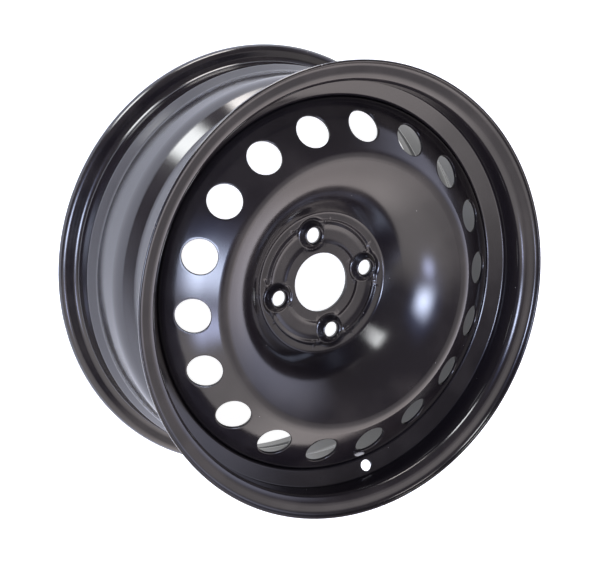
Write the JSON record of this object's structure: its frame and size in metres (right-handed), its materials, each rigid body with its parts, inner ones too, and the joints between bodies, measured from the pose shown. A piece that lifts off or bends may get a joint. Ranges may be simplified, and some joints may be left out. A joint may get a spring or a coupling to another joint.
{
  "type": "steel wheel",
  "caption": "Pressed-steel car wheel: a rolled drop-centre rim and a dished disc welded into it, with a ring of round vents, a centre bore, tapered bolt seats and a valve hole.",
  "frame": {"origin": "on the wheel's axis, in the plane of the inboard flange lip on which the wheel lies", "axes": "+Z along the wheel's axis towards its outboard face, +X through a bolt hole and a vent, with the valve hole on the -X side"},
  "size_m": [0.4402, 0.44, 0.1938],
  "materials": {
    "black_paint": "gloss black dip paint over steel"
  },
  "bodies": {
    "root": {"rim": "black_paint", "wheel_disc": "black_paint", "weld_seams": "black_paint"}
  },
  "joints": []
}
